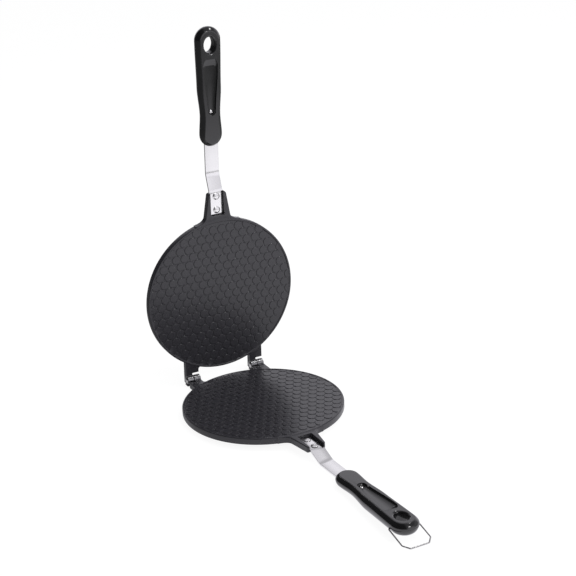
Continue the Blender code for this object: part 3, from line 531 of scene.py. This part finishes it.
def strap_slot():
    """The cutter for the fork's slot, open at the tips and with round inner corners."""
    side, end = SLOT_HALF - SLOT_ROUND, -SLOT_START - SLOT_ROUND
    outline = [(-SLOT_HALF, -LUG_REACH - OVERLAP), (SLOT_HALF, -LUG_REACH - OVERLAP)]
    outline += rounded(side, end, SLOT_ROUND, 0, 90) + rounded(-side, end, SLOT_ROUND, 90, 180)
    return slab("slot", outline, SLOT_FLOOR, OVERLAP, SLOT_EDGE)


def tip_chamfer():
    """The cutter for the slope under the fork's tips, wider than the fork."""
    near, low = -LUG_REACH - OVERLAP, LUG_BOTTOM - OVERLAP
    run = LUG_TIP_CHAMFER + 2 * OVERLAP
    return slab("tip_cut", [(near, low), (near + run, low), (near, low + run)],
                -TIP_CUT_HALF, TIP_CUT_HALF, BEVEL, SIDEWAYS)


casting = disc()
joins = [pads(), lug()]
cuts = [strap_slot(), tip_chamfer()]
for middle in (-HINGE_SPREAD, HINGE_SPREAD):
    joins += [hinge_arm(middle), knuckle(middle), stop_tab(middle)]
    cuts.append(turned("bore", [(PIN_BORE, -BORE_REACH), (PIN_BORE, BORE_REACH)], 32,
                       Matrix.Translation((middle, HINGE_REACH, 0)) @ ALONG_X))
casting = fused(casting, joins, "UNION")
casting = fused(casting, cuts, "DIFFERENCE")

coat, wire, own = finish_of("non_stick_coat")
cloud = wire.node("TexNoise", Vector=own, Scale=60.0, Detail=3.0, Roughness=0.55)
speck = wire.node("TexNoise", Vector=own, Scale=2200.0, Detail=2.0, Roughness=0.6)
grain = wire.node("TexNoise", Vector=own, Scale=900.0, Detail=2.0, Roughness=0.5)
coated = wire.toned(cloud * 0.6 + speck * 0.4, *COAT_TONES)
skin = wire.node("Bump", Strength=0.25, Distance=0.00006, Height=grain * 0.7 + speck * 0.3)
flat = wire.node("VectorMath", {"operation": "MULTIPLY"}, i0=own, i1=(0, 1, 1))
from_pin = wire.node("VectorMath", {"operation": "DISTANCE"}, output=1, i0=flat,
                     i1=(0, HINGE_REACH, 0))
bare = wire.node("ValToRGB", {"stops": ((0.0, 1.0), (0.2, 0.0))},
                 Fac=(from_pin - KNUCKLE_RADIUS - BEVEL) * 500.0)
tone = wire.toned(bare, coated, BARE_METAL)
finish = wire.node("BsdfPrincipled", Base_Color=tone, Metallic=bare,
                   Roughness=cloud * 0.10 + 0.22, IOR=1.56, Normal=skin)
wire.node("OutputMaterial", Surface=finish)

for half_name, place in HALVES:
    add_piece(half_name + "_casting", casting, place, half_name + "_half",
              coat, [half_name + "_plate"])
bpy.data.objects.remove(casting)

# Straps: flat stainless bar, sheared to length, bent down behind the fork and run straight on into
# the handle. The brushing runs along the bar.
BAR_TONES = ((0.82, 0.815, 0.81, 1), (0.90, 0.895, 0.89, 1))
STRAP_HALF_WIDTH = 0.0082
STRAP_THICKNESS = 0.0020
STRAP_LEVEL = -0.0050
STRAP_EDGE = 0.0003
STRAP_END_GAP = 0.0008
STRAP_BEND_START = 0.1226
STRAP_BEND_END = 0.1410
STRAP_BEND_RADII = (0.0160, 0.0220)
TANG_LEVEL = -0.0120
TANG_LENGTH = 0.0830
HANDLE_RISE = math.radians(0.9)


def bent_line(corners, steps):
    """An open line through corners of (a, b, radius), with an arc at each corner that has one:
    centre + (sin((1 - s) * sweep) * first + sin(s * sweep) * last) / sin(sweep)."""
    line = []
    for index, (a, b, radius) in enumerate(corners):
        here = np.array((a, b))
        if radius == 0:
            line.append(here)
            continue
        to_last = np.array(corners[index - 1][:2]) - here
        to_next = np.array(corners[index + 1][:2]) - here
        to_last /= np.linalg.norm(to_last)
        to_next /= np.linalg.norm(to_next)
        half = math.acos(np.clip(to_last @ to_next, -1, 1)) / 2
        inward = to_last + to_next
        centre = here + inward / np.linalg.norm(inward) * radius / math.sin(half)
        first = here + to_last * radius / math.tan(half) - centre
        last = here + to_next * radius / math.tan(half) - centre
        share = np.linspace(0, 1, steps)[:, None]
        sweep = math.pi - 2 * half
        blend = np.sin((1 - share) * sweep) * first + np.sin(share * sweep) * last
        line += list(centre + blend / math.sin(sweep))
    return np.array(line)


def carried(name, path, normal, profile):
    """A closed profile of (a, b) carried along a path in one plane: path + a * normal + b *
    (normal x direction of the path)."""
    along = np.gradient(path, axis=0)
    along /= np.linalg.norm(along, axis=1)[:, None]
    normal = np.array(normal, float)
    across = np.cross(normal, along)
    a, b = np.array(profile).T
    points = path[:, None] + a[None, :, None] * normal + b[None, :, None] * across[:, None]
    return solid(name, points, [face[::-1] for face in ring_faces(len(path), len(profile))])


corners = [(-SLOT_START - STRAP_END_GAP, STRAP_LEVEL, 0),
           (-STRAP_BEND_START, STRAP_LEVEL, STRAP_BEND_RADII[0]),
           (-STRAP_BEND_END, TANG_LEVEL, STRAP_BEND_RADII[1]),
           (-STRAP_BEND_END - TANG_LENGTH, TANG_LEVEL + TANG_LENGTH * math.tan(HANDLE_RISE), 0)]
line = bent_line(corners, 12)
path = np.column_stack([np.zeros(len(line)), line])
wide, thick = STRAP_HALF_WIDTH - STRAP_EDGE, STRAP_THICKNESS / 2 - STRAP_EDGE
bar_profile = []
for x, y, turn in ((wide, thick, 0), (-wide, thick, 90), (-wide, -thick, 180), (wide, -thick, 270)):
    bar_profile += rounded(x, y, STRAP_EDGE, turn, turn + 90, 4)
strap = carried("strap", path, (1, 0, 0), bar_profile)

steel, wire, own = finish_of("strap_steel")
drawn = wire.node("Mapping", Vector=own, Scale=(2600.0, 60.0, 400.0))
lines = wire.node("TexNoise", Vector=drawn, Scale=1.0, Detail=4.0, Roughness=0.6)
cloud = wire.node("TexNoise", Vector=own, Scale=90.0, Detail=2.0)
tone = wire.toned(lines, *BAR_TONES)
skin = wire.node("Bump", Strength=0.2, Distance=0.00003, Height=lines)
finish = wire.node("BsdfPrincipled", Base_Color=tone, Metallic=1.0,
                   Roughness=lines * 0.08 + cloud * 0.06 + 0.11, Normal=skin)
wire.node("OutputMaterial", Surface=finish)
for half_name, place in HALVES:
    add_piece(half_name + "_bar", strap, place, half_name + "_half", steel,
              [half_name + "_strap"], crease=20.0)
bpy.data.objects.remove(strap)

# Strap rivets: solid rivets with a domed head on the bar and a closed tail under the fork, two to
# each strap, bright from the heading die.
BRIGHT_TONES = ((0.78, 0.775, 0.77, 1), (0.88, 0.875, 0.87, 1))
RIVET_REACHES = (0.1010, 0.1170)
RIVET_RADIUS = 0.0020
RIVET_HEAD = (0.0040, 0.0012)
RIVET_TAIL = (0.0034, 0.0012)
SEAT_GAP = 0.0003


def dome(radius, height, base, steps):
    """The profile of a round head over its base, from the rim to just short of the middle:
    radius is ball * sin a, and height is base + height - ball * (1 - cos a)."""
    ball = (radius ** 2 + height ** 2) / (2 * height)
    angle = np.linspace(math.asin(radius / ball), 0.02, steps)
    return list(zip(ball * np.sin(angle), base + height - ball * (1 - np.cos(angle))))


head_base = STRAP_LEVEL + STRAP_THICKNESS / 2 + SEAT_GAP
tail_base = LUG_BOTTOM - SEAT_GAP
tail = dome(*RIVET_TAIL, tail_base, 9)
profile = [(radius, 2 * tail_base - level) for radius, level in tail[::-1]]
profile += [(RIVET_RADIUS, tail_base), (RIVET_RADIUS, head_base)]
profile += [(RIVET_HEAD[0] - 2 * BEVEL, head_base), (RIVET_HEAD[0], head_base + BEVEL)]
profile += dome(RIVET_HEAD[0], RIVET_HEAD[1] - 2 * BEVEL, head_base + 2 * BEVEL, 12)
rivet = turned("rivet", profile, 48)

bright, wire, own = finish_of("bright_steel")
smear = wire.node("TexNoise", Vector=own, Scale=700.0, Detail=3.0, Roughness=0.6)
tone = wire.toned(smear, *BRIGHT_TONES)
skin = wire.node("Bump", Strength=0.15, Distance=0.00003, Height=smear)
finish = wire.node("BsdfPrincipled", Base_Color=tone, Metallic=1.0,
                   Roughness=smear * 0.14 + 0.12, Normal=skin)
wire.node("OutputMaterial", Surface=finish)
for half_name, place in HALVES:
    for number, reach in enumerate(RIVET_REACHES, start=1):
        name = half_name + "_strap_rivet_" + str(number)
        add_piece(name + "_head", rivet, place @ Matrix.Translation((0, -reach, 0)),
                  half_name + "_half", bright, [name])
bpy.data.objects.remove(rivet)

# Handles: phenolic mouldings with a flat inner face, a scoop for the thumb, an oval hanging hole
# and a full round belly. The mould leaves the flat face satin and the outside glossy.
MOULDING_TONES = ((0.008, 0.008, 0.0085, 1), (0.013, 0.013, 0.014, 1))
GRIP = (Matrix.Translation((0, -STRAP_BEND_END, TANG_LEVEL))
        @ Matrix.Rotation(-HANDLE_RISE, 4, "X"))
HANDLE_START = 0.0325
HANDLE_LENGTH = 0.1335
FACE_LEVEL = 0.0059
WIDEST_LEVEL = 0.0009
STATIONS = (0.0, 0.10, 0.27, 0.50, 0.87, 1.0)
HALF_WIDTHS = (0.0132, 0.0132, 0.0119, 0.0138, 0.0148, 0.0148)
DEPTHS = (0.0070, 0.0070, 0.0070, 0.0095, 0.0085, 0.0085)
START_ROUND = 0.0135
END_ROUND = 0.0150
FACE_INSET = 0.0038
FACE_ROUND = 0.0010
FACE_HOLDING = 0.0003
SIDE_POWER = 1.6
BELLY_INSET = 0.0076
SCOOP_START = 0.0685
SCOOP_END = 0.1310
SCOOP_HALF_WIDTHS = (0.0046, 0.0087)
SCOOP_DEPTH = 0.0036
SCOOP_NOSE = 0.0032
SCOOP_RAMP = 0.0075
SCOOP_EASE = 0.9
SCOOP_NOSE_NARROWING = 0.55
SCOOP_RAMP_NARROWING = 0.38
SCOOP_POWER = 0.45
HOLE_REACH = 0.1465
HOLE_HALF_WIDTH = 0.0063
HOLE_HALF_LENGTH = 0.0088
HOLE_FACE_LIP = (0.0021, 0.0021)
HOLE_BELLY_LIP = (0.0032, 0.0055)
OVERCUT = 0.001
SCREW_REACH = 0.0721
SCREW_HEAD = (0.0027, 0.0015)
PIVOT_REACH = 0.1480
PIVOT_LEVEL = -0.0028
PIVOT_HOLE_RADIUS = 0.0011
PIVOT_HOLE_DEPTHS = (0.0103, 0.0168)


def eased(share, sizes):
    """Sizes at the stations, joined by smooth steps: near + (far - near) * s * s * (3 - 2 * s)."""
    share = np.clip(share, 0, 1)
    index = np.clip(np.searchsorted(STATIONS, share, side="right") - 1, 0, len(STATIONS) - 2)
    low, high = np.take(STATIONS, index), np.take(STATIONS, index + 1)
    near, far = np.take(sizes, index), np.take(sizes, index + 1)
    step = (share - low) / (high - low)
    return near + (far - near) * step * step * (3 - 2 * step)


def rail(inset):
    """The right-hand side of the handle's outline in plan, drawn in by an inset: quarter ovals at
    the ends, (eased half width - inset) * sin a over round * (1 - cos a), joined along the eased
    half width. Gives (x, distance along)."""
    turn = np.linspace(0.03, math.pi / 2, 22)
    start, end = START_ROUND - inset, END_ROUND - inset
    near = inset + start * (1 - np.cos(turn))
    far = HANDLE_LENGTH - inset - end * (1 - np.cos(turn[::-1]))
    middle = np.linspace(START_ROUND, HANDLE_LENGTH - END_ROUND, 90)[1:-1]
    along = np.concatenate([near, middle, far])
    factor = np.concatenate([np.sin(turn), np.ones(len(middle)), np.sin(turn[::-1])])
    return (eased(along / HANDLE_LENGTH, HALF_WIDTHS) - inset) * factor, along


def handle_ring(inset, level, belly_share=0.0):
    """A loop round the handle: the rail and its mirror image, at a level less a share of depth."""
    x, along = rail(inset)
    depth = eased(along / HANDLE_LENGTH, DEPTHS) + WIDEST_LEVEL
    z = level - belly_share * depth
    side = np.column_stack([x, -HANDLE_START - along, z])
    return np.concatenate([side[::-1], side * (-1, 1, 1)])


def handle_blank():
    """The outside, as rings from the bottom up: over the belly inset * (1 - cos a) and depth *
    sin(a), and up the sides inset * share^power. A bend of (1 - t)^2 * side + 2 * t * (1 - t) *
    edge + t^2 * face takes the corner off round the flat face."""
    turn = np.linspace(math.pi / 2, 0, 12)[:-1]
    rings = []
    for a in turn:
        inset = BELLY_INSET * (1 - math.cos(a))
        rings.append(handle_ring(inset, WIDEST_LEVEL, math.sin(a)))
    rise = FACE_LEVEL - WIDEST_LEVEL
    slope = np.array((FACE_INSET * SIDE_POWER, rise))
    edge = np.array((FACE_INSET, FACE_LEVEL))
    side_end = edge - FACE_ROUND * slope / np.linalg.norm(slope)
    face_start = edge + np.array((FACE_ROUND, 0))
    for share in np.linspace(0, (side_end[1] - WIDEST_LEVEL) / rise, 9)[:-1]:
        rings.append(handle_ring(FACE_INSET * share ** SIDE_POWER, WIDEST_LEVEL + rise * share))
    for t in np.linspace(0, 1, 6):
        inset, level = (1 - t) ** 2 * side_end + 2 * t * (1 - t) * edge + t * t * face_start
        rings.append(handle_ring(inset, level))
    rings.append(handle_ring(face_start[0] + FACE_HOLDING, FACE_LEVEL))
    count = len(rings[0])
    *sides, _, top = ring_faces(len(rings), count)
    bottom = [[count - 1 - i, count - 2 - i, i + 1, i] for i in range(count // 2 - 1)]
    return solid("handle", np.array(rings), sides + bottom + [top])


def oval(half_width, half_length, y, level, steps):
    """A level loop of an oval about the handle's centre line: half width * cos a across and half
    length * sin a along."""
    angle = np.arange(steps) * 2 * math.pi / steps
    return np.column_stack([half_width * np.cos(angle), y + half_length * np.sin(angle),
                            np.full(steps, level)])


def hanging_hole():
    """The cutter for the hole: straight walls with a round lip at the flat face, and a deeper one
    at the belly. A lip grows by width * (1 - cos a) / (1 - cos 1) while the rest of its depth
    shrinks as depth * (1 - sin a / sin 1), for a from 0 to 1."""
    turn = np.linspace(0, 1.0, 7)
    flare = (1 - np.cos(turn)) / (1 - math.cos(1.0))
    drop = 1 - np.sin(turn) / math.sin(1.0)
    bottom = -DEPTHS[-1]
    front = flare * HOLE_FACE_LIP[0]
    behind = flare[::-1] * HOLE_BELLY_LIP[0]
    grown = [behind[0] + OVERCUT, *behind, *front, front[-1] + OVERCUT]
    levels = [bottom - OVERCUT, *(bottom + drop[::-1] * HOLE_BELLY_LIP[1]),
              *(FACE_LEVEL - drop * HOLE_FACE_LIP[1]), FACE_LEVEL + OVERCUT]
    rings = [oval(HOLE_HALF_WIDTH + size, HOLE_HALF_LENGTH + size, -HOLE_REACH, level, 64)
             for size, level in zip(grown, levels)]
    return solid("hole", np.array(rings), ring_faces(len(rings), 64))


def thumb_scoop():
    """The cutter for the scoop. Across it, depth * sin(a)^power with x = half * cos(a); along it,
    a blunt nose, a width that eases from narrow to wide, and a straight ramp that draws in."""
    nose = np.linspace(0, 1, 9)
    run = np.linspace(SCOOP_START + SCOOP_NOSE, SCOOP_END - SCOOP_RAMP, 30)[1:]
    ramp = np.linspace(0, 1, 9)[1:]
    reach = np.concatenate([SCOOP_START + SCOOP_NOSE * nose, run, run[-1] + SCOOP_RAMP * ramp])
    rise = np.concatenate([np.sin(nose * math.pi / 2), np.ones(len(run)), np.ones(len(ramp))])
    fall = np.concatenate([np.zeros(len(nose) + len(run)), ramp])
    share = np.clip((reach - SCOOP_START) / (SCOOP_END - SCOOP_START) / SCOOP_EASE, 0, 1)
    near, far = SCOOP_HALF_WIDTHS
    half = near + (far - near) * share * share * (3 - 2 * share)
    half *= 1 - SCOOP_NOSE_NARROWING + SCOOP_NOSE_NARROWING * rise
    half *= 1 - SCOOP_RAMP_NARROWING * fall ** 2.2
    depth = SCOOP_DEPTH * np.sqrt(rise) * (1 - fall) + BEVEL / 10
    angle = np.linspace(0, math.pi, 41)
    sink = np.sin(angle) ** SCOOP_POWER
    floor = np.stack([half[:, None] * np.cos(angle), np.repeat(-reach[:, None], len(angle), axis=1),
                      FACE_LEVEL - depth[:, None] * sink], axis=-1)
    top_right = floor[:, :1] + (0, 0, 2 * OVERCUT)
    top_left = floor[:, -1:] + (0, 0, 2 * OVERCUT)
    rings = np.concatenate([top_right, floor, top_left], axis=1)
    faces = [face[::-1] for face in ring_faces(len(reach), rings.shape[1])]
    return solid("scoop", rings, faces)


screw_place = Matrix.Translation((0, -SCREW_REACH, 0))
screw_seat = FACE_LEVEL - SCOOP_DEPTH
handle = handle_blank()
recess = [(SCREW_HEAD[0] + SEAT_GAP, screw_seat - SEAT_GAP),
          (SCREW_HEAD[0] + SEAT_GAP, FACE_LEVEL + OVERCUT)]
cuts = [hanging_hole(), thumb_scoop(), turned("screw_recess", recess, 40, screw_place)]
for side in (-1, 1):
    ends = [(PIVOT_HOLE_RADIUS, reach) for reach in sorted(side * d for d in PIVOT_HOLE_DEPTHS)]
    cuts.append(turned("bail_hole", ends, 24,
                       Matrix.Translation((0, -PIVOT_REACH, PIVOT_LEVEL)) @ ALONG_X))
handle = fused(handle, cuts, "DIFFERENCE")

phenolic, wire, own = finish_of("phenolic")
height = wire.node("SeparateXYZ", Vector=own).beside("Z")
on_face = wire.node("ValToRGB", {"stops": ((0.0, 0.0), (1.0, 1.0))}, Fac=height * 2000.0 - 11.2)
cloud = wire.node("TexNoise", Vector=own, Scale=120.0, Detail=3.0, Roughness=0.5)
peel = wire.node("TexNoise", Vector=own, Scale=1500.0, Detail=2.0, Roughness=0.5)
tone = wire.toned(cloud, *MOULDING_TONES)
skin = wire.node("Bump", Strength=0.2, Distance=0.00003, Height=peel)
finish = wire.node("BsdfPrincipled", Base_Color=tone,
                   Roughness=on_face * 0.10 + cloud * 0.06 + 0.09, IOR=1.68, Normal=skin)
wire.node("OutputMaterial", Surface=finish)
for half_name, place in HALVES:
    add_piece(half_name + "_grip", handle, place @ GRIP, half_name + "_half",
              phenolic, [half_name + "_handle"], crease=22.0)
bpy.data.objects.remove(handle)

# Handle screws: small pan-head screws with a cross recess, at the narrow end of each scoop, that
# hold the strap's tang in the moulding.
SHANK = (0.0015, 0.0090)
CROSS_HALF = (0.0013, 0.00025)
CROSS_DEPTHS = (0.0005, 0.003)
CROSS_TURN = 0.3

profile = [(SHANK[0], screw_seat - SHANK[1]), (SHANK[0], screw_seat),
           (SCREW_HEAD[0] - BEVEL, screw_seat), (SCREW_HEAD[0], screw_seat + 2 * BEVEL)]
profile += dome(SCREW_HEAD[0], SCREW_HEAD[1] - 3 * BEVEL, screw_seat + 3 * BEVEL, 9)
screw = turned("screw", profile, 48)
long, wide = CROSS_HALF
low, high = (screw_seat + depth for depth in CROSS_DEPTHS)
blades = [slab("blade", [(-long, -wide), (long, -wide), (long, wide), (-long, wide)], low, high,
               BEVEL / 2, Matrix.Rotation(blade_turn, 4, "Z"))
          for blade_turn in (CROSS_TURN, CROSS_TURN + math.pi / 2)]
screw = fused(screw, blades, "DIFFERENCE")
screw.data.transform(screw_place)
for half_name, place in HALVES:
    add_piece(half_name + "_grip_screw", screw, place @ GRIP, half_name + "_half",
              bright, [half_name + "_handle_screw"])
bpy.data.objects.remove(screw)

# Hinge pins: bright rivets of plain steel, put through both knuckles of a hinge and then headed
# at each end, so that the plates turn on them and can't come apart.
PIN_RADIUS = 0.0020
PIN_HEAD = (0.0035, 0.0013)

pin_base = ARM_HALF + SEAT_GAP
head = [(PIN_HEAD[0] - BEVEL, pin_base)]
head += dome(PIN_HEAD[0], PIN_HEAD[1] - BEVEL, pin_base + BEVEL, 9)
profile = [(radius, -level) for radius, level in head[::-1]]
profile += [(PIN_RADIUS, -pin_base), (PIN_RADIUS, pin_base)] + head
pin = turned("pin", profile, 48, ALONG_X)
for side_name, middle in (("left", -HINGE_SPREAD), ("right", HINGE_SPREAD)):
    name = "hinge_pin_" + side_name
    add_piece(name + "_rivet", pin, LOWER @ Matrix.Translation((middle, HINGE_REACH, 0)),
              "lower_half", bright, [name])
bpy.data.objects.remove(pin)

# Bail: one length of bright spring wire, sprung into blind holes in the lower handle's sides,
# which hold it just clear of the table.
WIRE_TONES = ((0.42, 0.415, 0.41, 1), (0.54, 0.535, 0.53, 1))
WIRE_RADIUS = 0.00078
BAIL_HALF_WIDTH = 0.0159
BAIL_SHOULDER = 0.0255
BAIL_REACH = 0.0318
BAIL_BAR_HALF = 0.0104
BAIL_BEND = 0.0022
BAIL_HANG = math.radians(15.0)

corners = [(PIVOT_HOLE_DEPTHS[0], 0, 0), (BAIL_HALF_WIDTH, 0, BAIL_BEND),
           (BAIL_HALF_WIDTH, -BAIL_SHOULDER, BAIL_BEND), (BAIL_BAR_HALF, -BAIL_REACH, BAIL_BEND)]
corners += [(-x, y, size) for x, y, size in corners[::-1]]
line = bent_line(corners, 12)
path = np.column_stack([line, np.zeros(len(line))])
around = np.arange(24) * 2 * math.pi / 24
round_profile = np.column_stack([WIRE_RADIUS * np.cos(around), WIRE_RADIUS * np.sin(around)])
bail = carried("bail_wire", path, (0, 0, 1), round_profile)

satin, wire, own = finish_of("drawn_wire")
smear = wire.node("TexNoise", Vector=own, Scale=500.0, Detail=3.0, Roughness=0.6)
tone = wire.toned(smear, *WIRE_TONES)
finish = wire.node("BsdfPrincipled", Base_Color=tone, Metallic=1.0, Roughness=smear * 0.12 + 0.22)
wire.node("OutputMaterial", Surface=finish)
add_piece("bail_loop", bail,
          LOWER @ GRIP @ Matrix.Translation((0, -PIVOT_REACH, PIVOT_LEVEL))
          @ Matrix.Rotation(BAIL_HANG, 4, "X"), "bail", satin, ["bail"])
bpy.data.objects.remove(bail)
